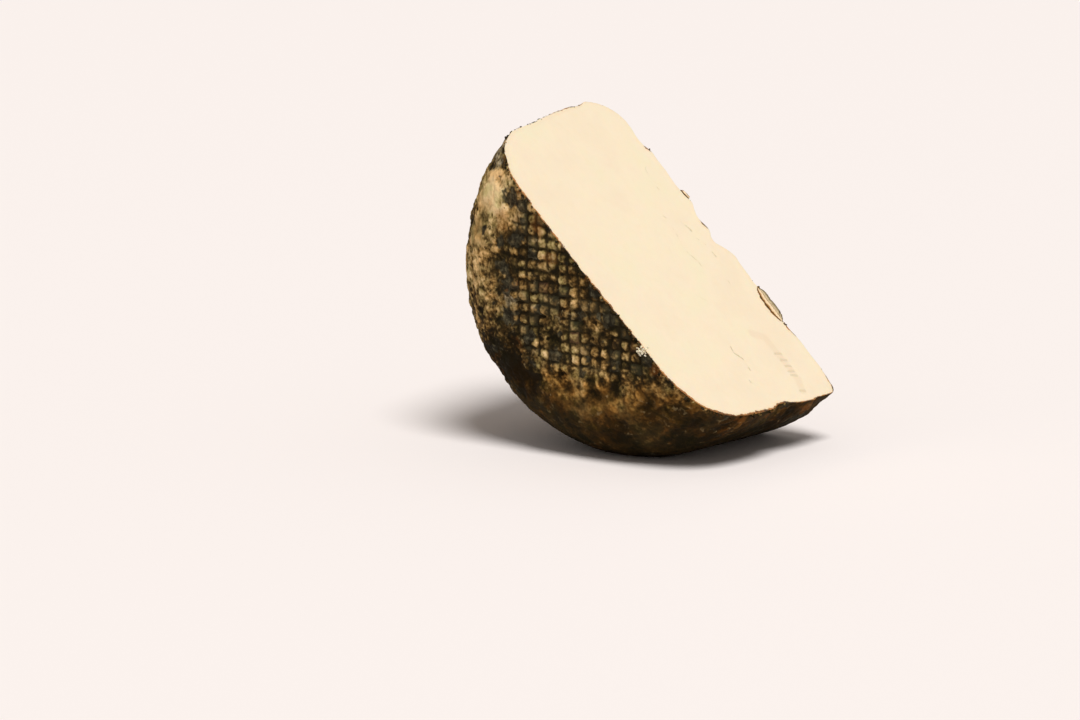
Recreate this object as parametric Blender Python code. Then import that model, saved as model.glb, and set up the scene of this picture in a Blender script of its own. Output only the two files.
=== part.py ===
"""Half a wheel of aged ricotta: knife-cut face, craggy rind and the print of its draining basket.

The wheel is modelled in its own frame: the axis along Y, the plain side at y = 0, the printed
side towards -Y, and the cut facing up at z = 0, with its low end at +X. It is then turned to
stand on its rind. Metres, +Z up, origin under the middle of the part.
"""

import math

import bmesh
import bpy
from mathutils import Matrix, Vector, noise

MM = 0.001

# ---- driving dimensions -------------------------------------------------------------------
PLAIN_RADIUS = 55.3 * MM  # of the wheel at its plain side
PRINT_RADIUS = 52.8 * MM  # at the side that carries the basket's print
THICKNESS = 64.6 * MM  # from side to side, along the axis
DEPTH_RATIO = 1.022  # depth behind the cut, over the radius along it
PLAIN_EDGE = (12.6 * MM, 3.6 * MM)  # edge radii: at the cut's raised end, and at its low end
PRINT_EDGE = (19.7 * MM, 23.5 * MM)
PLAIN_CROWN = 1.0 * MM  # how far each side swells at its middle
PRINT_CROWN = 0.5 * MM

# ---- how it stands ------------------------------------------------------------------------
SLOPE = math.radians(45.6)  # of the cut face
TAPER = math.atan((PLAIN_RADIUS - PRINT_RADIUS) / THICKNESS)
FOOT_DEPTH = 1.7 * MM  # of rind pressed flat under the wheel
FOOT_TURN = 0.5 * math.pi - SLOPE  # round from the cut's low end to the lowest line
FOOT_HALF = math.radians(40.0)  # turn to each side in which the rind is pressed smooth
HEEL_HEIGHT = 2.2 * MM  # swelling beside the foot, under the overhang
HEEL_TURN = FOOT_TURN + math.radians(22.0)
HEEL_SPREAD = math.radians(11.0)
HEEL_SPAN = (3.0 * MM, 42.0 * MM)  # along the axis, from the plain side
# The middle of the plain side, as it stands. X and Y centre the part's box on the origin.
WHEEL_CENTRE = Vector((8.8 * MM, 31.0 * MM, PLAIN_RADIUS * math.cos(TAPER) - FOOT_DEPTH))

# ---- relief of the rind -------------------------------------------------------------------
PRINT_PITCH = (3.40 * MM, 3.20 * MM)  # of the basket's cells
PRINT_SLANT = math.radians(44.5)  # of the weave, to the cut
PRINT_REACH = (29.0 * MM, 34.0 * MM)  # the basket's flat bottom: full print, and none
PRINT_HEIGHT = 0.80 * MM
# Unevenness of each kind: its size and its height.
SWELL = (26.0 * MM, 0.55 * MM)
LUMP = (9.0 * MM, 0.40 * MM)
HOLLOW = (6.5 * MM, 0.50 * MM)
PEBBLE = (3.4 * MM, 0.24 * MM)
TRIM = 2.5 * MM  # beside the cut, where the knife has smoothed the fine relief
# How far apart the three fields of noise are read that shift a point along X, Y and Z.
WANDER = (Vector((11.3, 4.7, 8.1)), Vector((3.9, 17.2, 6.4)), Vector((9.6, 2.8, 19.5)))
# Dents, and low bulges where the depth is negative: centre, spread and depth.
DENTS = (
    (Vector((-40.0, 0.0, 0.0)) * MM, 4.5 * MM, 0.9 * MM),
    (Vector((-33.6, 0.0, 0.0)) * MM, 2.2 * MM, -0.5 * MM),
    (Vector((-14.8, 0.0, 0.0)) * MM, 1.7 * MM, -0.9 * MM),
    (Vector((-9.4, 0.0, 0.0)) * MM, 3.6 * MM, 2.0 * MM),
    (Vector((-1.4, 0.0, 0.0)) * MM, 3.2 * MM, 3.8 * MM),
    (Vector((5.0, 0.0, 0.0)) * MM, 2.6 * MM, -0.7 * MM),
    (Vector((35.2, 0.0, 0.0)) * MM, 4.6 * MM, -1.2 * MM),
    (Vector((45.0, 0.0, 0.0)) * MM, 6.0 * MM, -1.1 * MM),
    (Vector((-48.0, -1.0, 0.0)) * MM, 7.0 * MM, -0.6 * MM),
    (Vector((-54.5, -32.0, 0.0)) * MM, 10.0 * MM, -0.5 * MM),
    (Vector((53.0, -26.0, 0.0)) * MM, 5.5 * MM, 1.4 * MM),
    (Vector((-37.0, -65.0, 0.0)) * MM, 7.0 * MM, -0.6 * MM),
    (Vector((-22.0, -65.0, 0.0)) * MM, 9.0 * MM, -0.6 * MM),
)
FLAP_CENTRE = 22.6 * MM  # a strip of rind that lifts off the plain side, along the cut
FLAP_LENGTH, FLAP_WIDTH, FLAP_HEIGHT = 14.0 * MM, 6.0 * MM, 2.5 * MM

# ---- mesh ---------------------------------------------------------------------------------
LATTICE_STEP = 0.7 * MM
TRIANGLES = 24000  # on the whole wheel, so about half of them on the part
CUT_SNAP = 0.25 * MM  # vertices this close to a plane are moved onto it
FOOT_SNAP = 0.04 * MM


def smoothstep(low, high, value):
    """0 at low, 1 at high, and smooth between them."""
    share = min(max((value - low) / (high - low), 0.0), 1.0)
    return share * share * (3.0 - 2.0 * share)


def mix(pair, share):
    """The value that lies a share of the way from the first of a pair to the second."""
    return pair[0] + (pair[1] - pair[0]) * share


def profile(turn):
    """Half the wheel's section at one turn about its axis, from the middle of the plain side to the
    middle of the printed side: points (radius, distance from the plain side)."""
    low_end = 0.5 + 0.5 * math.cos(turn)
    plain_edge = mix(PLAIN_EDGE, low_end)
    print_edge = mix(PRINT_EDGE, low_end)
    plain_flat = PLAIN_RADIUS - plain_edge
    print_flat = PRINT_RADIUS - print_edge
    rim = (plain_edge, THICKNESS - print_edge)
    quarter = 0.5 * math.pi

    def plain_side(s):
        return plain_flat * s, -PLAIN_CROWN * (1.0 - s * s)

    def plain_corner(s):
        return plain_flat + plain_edge * math.sin(quarter * s), plain_edge * (1.0 - math.cos(quarter * s))

    def rim_line(s):
        return mix((PLAIN_RADIUS, PRINT_RADIUS), s), mix(rim, s)

    def print_corner(s):
        return print_flat + print_edge * math.cos(quarter * s), rim[1] + print_edge * math.sin(quarter * s)

    def print_side(s):
        return print_flat * (1.0 - s), THICKNESS + PRINT_CROWN * s * (2.0 - s)

    stretches = (
        (plain_side, PLAIN_RADIUS),
        (plain_corner, quarter * PLAIN_EDGE[0]),
        (rim_line, THICKNESS - PLAIN_EDGE[0] - PRINT_EDGE[0]),
        (print_corner, quarter * PRINT_EDGE[0]),
        (print_side, PRINT_RADIUS - PRINT_EDGE[0]),
    )
    points = []
    for place, length in stretches:
        steps = round(length / LATTICE_STEP)
        points += [place(k / steps) for k in range(steps)]
    return points + [print_side(1.0)]


def smooth_wheel():
    """The whole wheel without relief: a closed lattice of profiles round the axis."""
    mesh = bmesh.new()
    columns = round(2.0 * math.pi * PLAIN_RADIUS / LATTICE_STEP)
    rings = []
    for column in range(columns):
        turn = 2.0 * math.pi * column / columns
        rings.append([
            mesh.verts.new((radius * math.cos(turn), -along, -radius * math.sin(turn) * DEPTH_RATIO))
            for radius, along in profile(turn)[1:-1]
        ])
    plain_middle = mesh.verts.new((0.0, PLAIN_CROWN, 0.0))
    print_middle = mesh.verts.new((0.0, -THICKNESS - PRINT_CROWN, 0.0))
    for ring, after in zip(rings, rings[1:] + rings[:1]):
        mesh.faces.new((plain_middle, ring[0], after[0]))
        mesh.faces.new((print_middle, after[-1], ring[-1]))
        for k in range(len(ring) - 1):
            mesh.faces.new((ring[k], ring[k + 1], after[k + 1], after[k]))
    bmesh.ops.recalc_face_normals(mesh, faces=mesh.faces)
    return mesh


def turn_of(point):
    """The turn about the wheel's axis, from the cut's low end round through the rind."""
    return math.atan2(-point.z, point.x)


def basket_print(point):
    """Cushions left between the strands of the basket: about 1 on a cushion, 0 in a groove."""
    across = point.x * math.cos(PRINT_SLANT) + point.z * math.sin(PRINT_SLANT)
    along = point.z * math.cos(PRINT_SLANT) - point.x * math.sin(PRINT_SLANT)
    cell = (across / PRINT_PITCH[0], along / PRINT_PITCH[1])
    middle = (round(cell[0]), round(cell[1]))
    off = (2.0 * (cell[0] - middle[0]), 2.0 * (cell[1] - middle[1]))
    fullness = 0.75 + 0.5 * noise.noise(Vector((0.9 * middle[0], 0.9 * middle[1], 4.5)))
    return fullness * (1.0 - off[0] ** 4) * (1.0 - off[1] ** 4)


def wander(point):
    """A shift that varies from place to place, and keeps outlines from being even."""
    return Vector([noise.noise(point + apart) for apart in WANDER])


def hollows(point):
    """Shallow uneven hollows in the crust: 1 at their deepest, 0 on the rind between them."""
    warp = wander(point / LUMP[0]) * 0.5
    return smoothstep(0.0, 0.45, noise.noise(point / HOLLOW[0] + warp))


def pebbles(point):
    """A crust of rounded grains: 1 on a grain, 0 between grains."""
    near = noise.voronoi(point / PEBBLE[0])[0]
    return smoothstep(0.02, 0.45, near[1] - near[0])


def heel(point):
    """The swelling that props the overhang: 1 along its crest, 0 away from it."""
    low, high = HEEL_SPAN
    span = smoothstep(low, low + 5.0 * MM, -point.y) * smoothstep(high, high - 8.0 * MM, -point.y)
    return span * math.exp(-(((turn_of(point) - HEEL_TURN) / HEEL_SPREAD) ** 2))


def flap(point):
    """The strip of rind that lifts off the plain side beside the cut: 1 at its middle."""
    along = 2.0 * (point.x - FLAP_CENTRE) / FLAP_LENGTH
    on_side = smoothstep(-4.0 * MM, -1.0 * MM, point.y)
    beside_cut = smoothstep(-FLAP_WIDTH, -0.3 * FLAP_WIDTH, point.z)
    return max(0.0, 1.0 - along ** 4) * on_side * beside_cut


def relief(point):
    """How far the rind stands off the smooth wheel at a point."""
    radius = math.hypot(point.x, point.z)
    on_print = smoothstep(PRINT_REACH[1], PRINT_REACH[0], radius)
    on_print *= smoothstep(0.80, 0.95, -point.y / THICKNESS)
    worn = smoothstep(0.15, 0.45, noise.noise(point / (12.0 * MM)))
    printed = on_print * (1.0 - worn)
    pressed = smoothstep(FOOT_HALF, 0.5 * FOOT_HALF, abs(turn_of(point) - FOOT_TURN))
    pressed *= smoothstep(0.6, 0.9, radius / PRINT_RADIUS)
    rough = (1.0 - 0.8 * printed) * (1.0 - 0.85 * pressed)
    trimmed = 0.4 + 0.6 * smoothstep(0.0, TRIM, abs(point.z))
    height = SWELL[1] * noise.noise(point / SWELL[0]) * (1.0 - 0.85 * pressed)
    height += LUMP[1] * noise.noise(point / LUMP[0] + Vector((3.0, 1.0, 7.0))) * rough
    height -= HOLLOW[1] * hollows(point) * rough
    height += PEBBLE[1] * (pebbles(point) - 0.5) * rough * trimmed
    height += PRINT_HEIGHT * (basket_print(point) - 0.5) * printed * trimmed
    height += HEEL_HEIGHT * heel(point) + FLAP_HEIGHT * flap(point)
    for centre, spread, depth in DENTS:
        height -= depth * math.exp(-(((point - centre).length / spread) ** 2))
    return height


def thinned(mesh):
    """The mesh with fewer triangles: most where the relief is sharp, few where it is smooth."""
    lattice = bpy.data.meshes.new("lattice")
    mesh.to_mesh(lattice)
    mesh.free()
    lattice.calc_loop_triangles()
    carrier = bpy.data.objects.new("carrier", lattice)
    bpy.context.scene.collection.objects.link(carrier)
    thin = carrier.modifiers.new("thin", "DECIMATE")
    thin.ratio = TRIANGLES / len(lattice.loop_triangles)
    result = bmesh.new()
    result.from_mesh(carrier.evaluated_get(bpy.context.evaluated_depsgraph_get()).data)
    bpy.data.objects.remove(carrier)
    return result


def slice_off(mesh, normal, snap):
    """Takes away what lies beyond the plane through the origin with this normal, and closes the
    body there with one flat face, which it returns in a list."""
    for vert in mesh.verts:
        gap = vert.co.dot(normal)
        if abs(gap) < snap:
            vert.co -= gap * normal
    everything = mesh.verts[:] + mesh.edges[:] + mesh.faces[:]
    bmesh.ops.bisect_plane(
        mesh, geom=everything, dist=1e-7, plane_co=Vector(), plane_no=normal, clear_outer=True)
    rim = [edge for edge in mesh.edges if edge.is_boundary]
    return bmesh.ops.edgeloop_fill(mesh, edges=rim)["faces"]


def material(name, colour, roughness):
    """A plain Principled material."""
    made = bpy.data.materials.new(name)
    made.use_nodes = True
    shader = made.node_tree.nodes["Principled BSDF"]
    shader.inputs["Base Color"].default_value = (*colour, 1.0)
    shader.inputs["Roughness"].default_value = roughness
    return made


def half_cheese():
    """The wheel with its relief, cut in half, turned and set on its foot."""
    mesh = smooth_wheel()
    offsets = [vert.normal * relief(vert.co) for vert in mesh.verts]
    for vert, offset in zip(mesh.verts, offsets):
        vert.co += offset
    mesh = thinned(mesh)
    for face in slice_off(mesh, Vector((0.0, 0.0, 1.0)), CUT_SNAP):
        face.material_index = 1
    mesh.transform(Matrix.Rotation(TAPER, 4, "X") @ Matrix.Rotation(SLOPE, 4, "Y"))
    mesh.transform(Matrix.Translation(WHEEL_CENTRE))
    slice_off(mesh, Vector((0.0, 0.0, -1.0)), FOOT_SNAP)
    data = bpy.data.meshes.new("half_cheese")
    mesh.to_mesh(data)
    mesh.free()
    data.materials.append(material("rind", (0.20, 0.14, 0.07), 0.8))
    data.materials.append(material("paste", (0.93, 0.80, 0.57), 0.55))
    data.shade_smooth()
    data.set_sharp_from_angle(angle=math.radians(50.0))
    bpy.context.scene.collection.objects.link(bpy.data.objects.new("half_cheese", data))


for leftover in list(bpy.data.objects):
    bpy.data.objects.remove(leftover)
half_cheese()
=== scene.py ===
"""The looks of half a wheel of aged ricotta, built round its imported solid.

The rind is a fine lattice that repeats the solid's form from the same named sizes and adds finer
relief. A cut face closes it, and flakes, burrs and crumbs stand on the edge of the cut. Shapes are
made in the wheel's own frame, with its axis along Y, the plain side at y = 0, the printed side
towards -Y and the cut at z = 0, its low end at +X. They are then set where the solid stands.
Metres; the places of features in the lists are in millimetres of the wheel's frame.
"""

import math
import random

import bmesh
import bpy
import numpy as np
from mathutils import Euler, Matrix, Vector, noise


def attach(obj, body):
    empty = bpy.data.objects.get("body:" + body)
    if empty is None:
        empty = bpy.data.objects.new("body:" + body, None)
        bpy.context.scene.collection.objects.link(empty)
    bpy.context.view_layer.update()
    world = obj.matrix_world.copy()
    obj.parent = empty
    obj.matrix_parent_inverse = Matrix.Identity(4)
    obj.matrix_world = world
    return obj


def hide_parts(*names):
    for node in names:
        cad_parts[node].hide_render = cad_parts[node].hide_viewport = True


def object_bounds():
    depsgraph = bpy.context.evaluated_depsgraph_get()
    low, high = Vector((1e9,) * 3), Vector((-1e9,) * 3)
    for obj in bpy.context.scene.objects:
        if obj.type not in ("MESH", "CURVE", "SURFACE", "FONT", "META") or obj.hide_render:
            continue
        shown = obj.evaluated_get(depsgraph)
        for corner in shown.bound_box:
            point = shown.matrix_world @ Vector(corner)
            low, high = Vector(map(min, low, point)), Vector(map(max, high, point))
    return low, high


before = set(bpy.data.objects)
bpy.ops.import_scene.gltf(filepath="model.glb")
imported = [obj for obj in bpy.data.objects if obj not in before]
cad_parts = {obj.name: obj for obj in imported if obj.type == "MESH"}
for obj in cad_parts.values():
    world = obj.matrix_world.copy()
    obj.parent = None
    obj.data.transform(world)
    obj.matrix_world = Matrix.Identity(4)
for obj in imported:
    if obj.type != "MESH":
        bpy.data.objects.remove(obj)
cad_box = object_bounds()

MM = 0.001
NODE = "half_cheese"

# ---- the wheel, as in the solid -----------------------------------------------------------
PLAIN_RADIUS = 55.3 * MM
PRINT_RADIUS = 52.8 * MM
THICKNESS = 64.6 * MM
DEPTH_RATIO = 1.022
PLAIN_EDGE = (12.6 * MM, 3.6 * MM)  # at the cut's raised end, and at its low end
PRINT_EDGE = (19.7 * MM, 23.5 * MM)
PLAIN_CROWN = 1.0 * MM
PRINT_CROWN = 0.5 * MM
SLOPE = math.radians(45.6)
TAPER = math.atan((PLAIN_RADIUS - PRINT_RADIUS) / THICKNESS)
FOOT_DEPTH = 1.7 * MM
FOOT_TURN = 0.5 * math.pi - SLOPE
FOOT_HALF = math.radians(40.0)
HEEL_HEIGHT = 2.2 * MM
HEEL_TURN = FOOT_TURN + math.radians(22.0)
HEEL_SPREAD = math.radians(11.0)
HEEL_SPAN = (3.0 * MM, 42.0 * MM)
WHEEL_CENTRE = Vector((8.8 * MM, 31.0 * MM, PLAIN_RADIUS * math.cos(TAPER) - FOOT_DEPTH))
TURNED = Matrix.Rotation(TAPER, 3, "X") @ Matrix.Rotation(SLOPE, 3, "Y")  # from its own frame
PRINT_PITCH = (3.40 * MM, 3.20 * MM)
PRINT_SLANT = math.radians(44.5)
PRINT_REACH = (29.0 * MM, 34.0 * MM)
PRINT_HEIGHT = 0.80 * MM
WORN = 12.0 * MM  # size of the stretches where the print has worn away
# Unevenness of each kind: its size and its height.
SWELL = (26.0 * MM, 0.55 * MM)
LUMP = (9.0 * MM, 0.40 * MM)
HOLLOW = (6.5 * MM, 0.50 * MM)
PEBBLE = (3.4 * MM, 0.24 * MM)
TRIM = 2.5 * MM  # beside the cut, where the knife has smoothed the fine relief
# How far apart the three fields of noise are read that shift a point along X, Y and Z.
WANDER = (Vector((11.3, 4.7, 8.1)), Vector((3.9, 17.2, 6.4)), Vector((9.6, 2.8, 19.5)))
# Dents along the cut's edge, and bulges where the depth is negative: place in the cut, spread, depth.
DENTS = (
    (-40.0, 0.0, 4.5, 0.9), (-33.6, 0.0, 2.2, -0.5), (-14.8, 0.0, 1.7, -0.9), (-9.4, 0.0, 3.6, 2.0),
    (-1.4, 0.0, 3.2, 3.8), (5.0, 0.0, 2.6, -0.7), (35.2, 0.0, 4.6, -1.2), (45.0, 0.0, 6.0, -1.1),
    (-48.0, -1.0, 7.0, -0.6), (-54.5, -32.0, 10.0, -0.5), (53.0, -26.0, 5.5, 1.4),
    (-37.0, -65.0, 7.0, -0.6), (-22.0, -65.0, 9.0, -0.6),
)
DENTED = [(Vector((x, y, 0.0)) * MM, spread * MM, depth * MM) for x, y, spread, depth in DENTS]

# ---- what is finer than the solid ---------------------------------------------------------
CRUST_HEIGHT = (3.0 * MM, 0.14 * MM)  # rugged, of several sizes from this one down
GRAIN = (1.5 * MM, 0.10 * MM)
PIT = (4.2 * MM, 0.45 * MM)
CELL_ROUNDING = 2.6  # of the outline of the print's cells: 2 is round, more is squarer
WOBBLE = ((5.0 * MM, 0.50 * MM), (1.6 * MM, 0.26 * MM))  # of the print's lines: size and reach
# Strips of rind that the knife lifted at the plain side: middle, length, how far in and out they
# reach from the edge, how deep they run behind the cut, and how far out their torn section looks
# like rind.
FLAKES = (
    (23.0, 12.8, 2.4, 1.75, 6.0, 1.0),
    (-17.9, 3.6, 0.3, 1.3, 2.2, 0.55),
)
FLAKE_GAP = 0.60 * MM
FLAKE_TUCK = 0.15 * MM  # how far its ends reach into the rind
FLAKE_TORN = (1.8 * MM, 0.6 * MM)  # sizes of what makes its height uneven
FLAKE_SECTION = (0.7 * MM, 0.25 * MM)  # unevenness of its torn section: size and height
FLAKE_STEP = 0.18  # mm, between its columns of points
FLAKE_ROWS, FLAKE_LAYERS = 20, 10  # of points behind the cut, and through its torn section

# ---- lattice ------------------------------------------------------------------------------
SIDE_RINGS = 200  # on each side of the wheel; ring j has 4 j steps over the half turn
RIM_ROWS = 110
PASTE_ROWS = 72  # from the edge of the cut to its core
PASTE_CROWDING = 1.35  # of the rows towards the edge
PASTE_CORE = (8.0 * MM, 0.65)  # half length of the core: a fixed part, and a share of the outline's
PASTE_SWELL = (14.0 * MM, 4.0 * MM)  # sizes of the cut face's unevenness
PASTE_UNEVEN = 0.10 * MM

# ---- colouring ----------------------------------------------------------------------------
# Lightness of the rind, from black at 0 to its palest tan at 1, and what makes it more or less.
LIGHT_BARE = 0.54
LIGHT_FAR = 0.08  # on the plain side and round the back
LIGHT_CRUST = 0.13  # by the crust's relief
LIGHT_CELL = (0.10, 0.13, -0.08)  # of the print: painted light on a cell's dome, by chance, and in all
DARK_AND_SHADE_UNDER = 0.35  # near the surface it stands on: partly the rind's own darker foot, partly painted shade
UNDER = (4.0 * MM, 24.0 * MM)  # up to this height, and then less over the second one
DARK_PRINT = 0.14
DARK_HOLLOW, DARK_PIT, DARK_SEAM = 0.18, 0.40, 0.07
DARK_SUNKEN = 0.30  # where the rind lies this much lower than what is round it
SUNKEN_DEPTH = 0.22 * MM
SUNKEN_ROUNDS = (14, 2)  # of smoothing: for what is round a place, and for the place
MOULD_PATCH = (12.0 * MM, 17.0 * MM)  # size: beside the printed side, and on the far side
MOULD_SPECK = 5.0 * MM
RAGGED = (2.4 * MM, 1.0 * MM)  # sizes of what makes the outlines of patches ragged
# Spots of black-green mould: place, radius.
MOULD = (
    (-34.8, -64, -4.2, 3.4), (-31.0, -64, -3.0, 2.4), (-34.4, -63, -18.8, 1.8), (-25, -64, -11, 3.2),
    (-18, -64, -10, 2.6), (-23, -64, -21, 3.0), (-18, -64, -23, 3.4), (-28, -64, -16, 2.2),
    (-11.7, -64, -29.0, 3.6), (-3, -64, -28, 2.8), (3, -64, -10, 2.2), (1, -64, -2, 2.6),
    (6, -64, -25, 3.2), (10, -64, -3, 3.4), (14, -64, -17, 1.8), (20, -64, -11, 2.4),
    (15, -64, -21, 2.0), (-7, -64, -20, 2.0), (26, -64, -1, 2.2), (-46.8, -59, -6, 1.6),
    (-50, -54, -3, 1.4), (-45, -54, -21, 2.4), (-10, -64, -2, 1.8),
)
# Broad tones of the printed side and its edge: place, radius, and how much lighter or darker. The two
# dark ones at (-7, -62, -41) and (0, -62, -41), low on the printed side by the foot, are painted shade.
TONES = (
    (-40, -62.5, -9, 6.0, 0.64), (-36, -62.5, -20, 6.0, 0.16), (-44, -61, -5, 4.0, 0.12),
    (-28, -62, -31, 8.0, 0.24), (-47, -59, -2, 3.0, -0.12), (-25, -64.5, -11, 5.0, -0.22),
    (-14, -65, -25, 3.0, 0.16), (-15, -65, -7, 3.5, 0.10), (0, -65, -1, 5.0, -0.16),
    (9, -64, -1, 4.0, -0.16), (20, -65, -1, 5.0, -0.20), (0, -65, -12, 1.6, 0.20),
    (12, -64.4, -26, 6.0, 0.16), (32, -64.5, -4, 5.0, -0.10), (24, -64.2, -17, 8.0, 0.14),
    (22, -63.5, -27, 7.0, 0.16), (-20, -64.6, -1.5, 4.5, 0.18), (-28, -64, -1, 3.5, 0.14),
    (40, -62, -2, 5.0, -0.08), (24, -62, -37, 8.0, -0.14), (50, -50, -10, 9.0, -0.10),
    (53, -25, -5, 12.0, -0.10), (-22, -64, -24, 6.0, -0.12), (-7, -62, -41, 10.0, -0.40),
    (0, -62, -41, 8.0, -0.26), (34, -60, -29, 6.0, -0.08),
)
# Where the rind is smooth and even in tone: place, radius.
CALM = (
    (-41, -62, -12, 9), (-36, -62, -22, 7), (26, -64, -21, 7), (35, -64, -11, 8), (16, -63, -36, 7),
    (2, -63, -40, 6), (27, -62, -30, 8),
)
# Where the basket's print is blurred: place, radius.
BLURRED = (
    (-22, -64, -20, 6), (4, -64, -33, 6), (13, -64, -28, 7), (21, -64, -21, 7), (28, -64, -12, 7),
    (32, -64, -3, 6), (-30, -64, -12, 4),
)
# Ochre stretches, and rusty ones beside the cut: place, radius.
OCHRE = (
    (14, -64, -31, 9), (25, -64, -22, 9), (34, -63, -12, 9), (30, -60, -28, 10), (42, -60, -6, 9),
    (50, -45, -6, 12), (53, -20, -4, 12), (4, -62, -40, 7),
)
RUST = (
    (-36, -64, 0, 5), (-44, -60, 0, 4), (30, -64, 0, 5), (37, -62, 0, 7), (44, -60, 0, 6),
    (53, -45, 0, 7), (54, -30, -1, 6), (54, -12, -1, 7), (-31.5, -65, -13, 6), (-14, -65, -6, 3),
    (-23, -64.6, -1, 6),
)
# Pale dusty bloom: place, radius.
BLOOM = (
    (-50, -55, -3, 5), (-46.5, -59, -4, 3.5), (-54, -48, 0, 5), (-15, -64.6, -26, 2.4),
    (-54, -20, -2, 8),
)
# Stretches of the cut's edge with a dark crust: place in the cut, spread, strength.
CRUST = (
    (-35, -65, 6.0, 1.0), (-18, -65, 12.0, 0.75), (37, -62, 9.0, 1.0), (50, -56, 8.0, 1.2),
    (53, -40, 9.0, 1.2), (54, -20, 11.0, 1.0), (54, -5, 6.0, 0.9), (4, -65, 12.0, 0.75),
    (20, -65, 6.0, 0.75), (-7, 0, 1.5, 0.8), (-35, 0, 1.0, 0.8), (23, -1.5, 5.0, 0.4), (32, 0, 2.5, 0.7),
    (-55, -20, 9.0, 0.3),
)
# Hairline cracks in the paste: points in the cut, half width, and how dark.
CRACKS = (
    (((-9.9, -9.8), (-6.4, -8.1)), 0.55, 1.0),
    (((-9.5, -15.2), (-7.7, -15.3), (-2.9, -16.8), (0.4, -16.6), (3.4, -15.3), (5.8, -15.6)), 0.2, 0.9),
    (((11.9, -9.3), (14.4, -9.0)), 0.2, 0.7),
    (((31.1, -29.2), (33.1, -29.9), (35.7, -28.1), (39.8, -28.6)), 0.24, 1.0),
    (((-30.5, -5.4), (-29.3, -7.2), (-26.8, -7.8)), 0.2, 0.6),
    (((-7.6, -20.7), (-0.1, -24.7), (10.8, -28.0), (15.2, -25.0)), 0.16, 0.3),
    (((2.0, -6.6), (3.6, -6.2)), 0.4, 0.9),
    (((-4.4, -8.7), (-3.0, -8.0)), 0.3, 0.8),
    (((-1.8, -6.9), (-0.9, -6.7)), 0.3, 0.7),
    (((-22.6, -8.6), (-21.2, -8.2)), 0.3, 0.7),
    (((-13.4, -15.2), (-12.4, -14.7)), 0.3, 0.6),
)
# A smear that the knife left, as points in the cut, and the middles of the short strokes across it.
SMEAR = (
    (29.6, -16.2), (31.7, -12.6), (34.9, -12.1), (39.2, -12.3), (43.6, -12.0), (47.0, -12.0),
    (50.9, -13.8),
)
STROKES = ((38.0, -12.2), (40.3, -11.8), (42.5, -11.9), (44.3, -12.4), (45.8, -12.5), (51.0, -14.0))
STROKE = (0.29, 1.16)  # from the middle of a stroke to its end

# ---- loose bits ---------------------------------------------------------------------------
# Frayed rind along the cut: number and size range in mm, on the printed side and the plain one.
FRAY_PRINTED = (300, 0.12, 0.50)
FRAY_PLAIN = (24, 0.10, 0.26)
TUFT = 2.5 * MM  # size of the groups that they stand in
# Torn places of the edge: place in the cut, spread along it, number, and size range, all in mm.
BURRS = (
    (-35.0, 0.2, 0.8, 6, 0.20, 0.42), (-7.6, -1.2, 0.8, 5, 0.18, 0.36), (-15.6, 0.9, 0.5, 3, 0.18, 0.34),
    (30.2, 0.4, 0.8, 7, 0.20, 0.48), (16.8, 2.2, 0.5, 5, 0.20, 0.42), (-47.5, -0.6, 1.2, 3, 0.18, 0.34),
)
# Crumbs of paste on the rind: place, spread, number, and size range in mm.
CRUMBS = ((23.4, -65.4, -0.4, 1.5, 34, 0.16, 0.42),)


def smoothstep(low, high, value):
    """0 at low, 1 at high, and smooth between them."""
    share = min(max((value - low) / (high - low), 0.0), 1.0)
    return share * share * (3.0 - 2.0 * share)


def mix(pair, share):
    """The value that lies a share of the way from the first of a pair to the second."""
    return pair[0] + (pair[1] - pair[0]) * share


# ---- form of the wheel --------------------------------------------------------------------
def side_section(share, turn, radius, edges, crown):
    """Points of one side's section, from its middle (share 0) to where its edge meets the rim
    (share 1): distance from the axis, and depth below the side's plane."""
    edge = mix(edges, 0.5 + 0.5 * np.cos(turn))
    flat = radius - edge
    run = share * (flat + 0.5 * math.pi * edge)
    bend = np.clip((run - flat) / edge, 0.0, 0.5 * math.pi)
    inside = np.minimum(run / flat, 1.0)
    from_axis = np.minimum(run, flat) + edge * np.sin(bend)
    return from_axis, edge * (1.0 - np.cos(bend)) - crown * (1.0 - inside * inside)


def rim_section(share, turn):
    """Points of the rim's section, from the plain side's edge to the printed side's."""
    low_end = 0.5 + 0.5 * np.cos(turn)
    ends = (mix(PLAIN_EDGE, low_end), THICKNESS - mix(PRINT_EDGE, low_end))
    from_axis = mix((PLAIN_RADIUS, PRINT_RADIUS), share) + 0.0 * turn
    return from_axis, mix(ends, share)


def lattice_rows():
    """Rows of points over the rind of the half wheel without relief, each from the cut's low end
    round to its raised end. The rows go from the plain side's middle to the printed side's."""
    rows = []

    def add(steps, section, flip=False):
        turn = np.linspace(0.0, math.pi, steps + 1)
        from_axis, along = section(turn)
        if flip:
            along = THICKNESS - along
        rows.append(np.stack(
            [from_axis * np.cos(turn), -along, -from_axis * np.sin(turn) * DEPTH_RATIO], axis=1))

    for ring in range(SIDE_RINGS + 1):
        share = ring / SIDE_RINGS
        add(4 * ring, lambda turn: side_section(share, turn, PLAIN_RADIUS, PLAIN_EDGE, PLAIN_CROWN))
    for row in range(1, RIM_ROWS):
        add(4 * SIDE_RINGS, lambda turn: rim_section(row / RIM_ROWS, turn))
    for ring in range(SIDE_RINGS, -1, -1):
        share = ring / SIDE_RINGS
        add(4 * ring, lambda turn: side_section(share, turn, PRINT_RADIUS, PRINT_EDGE, PRINT_CROWN),
            flip=True)
    return rows


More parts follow.
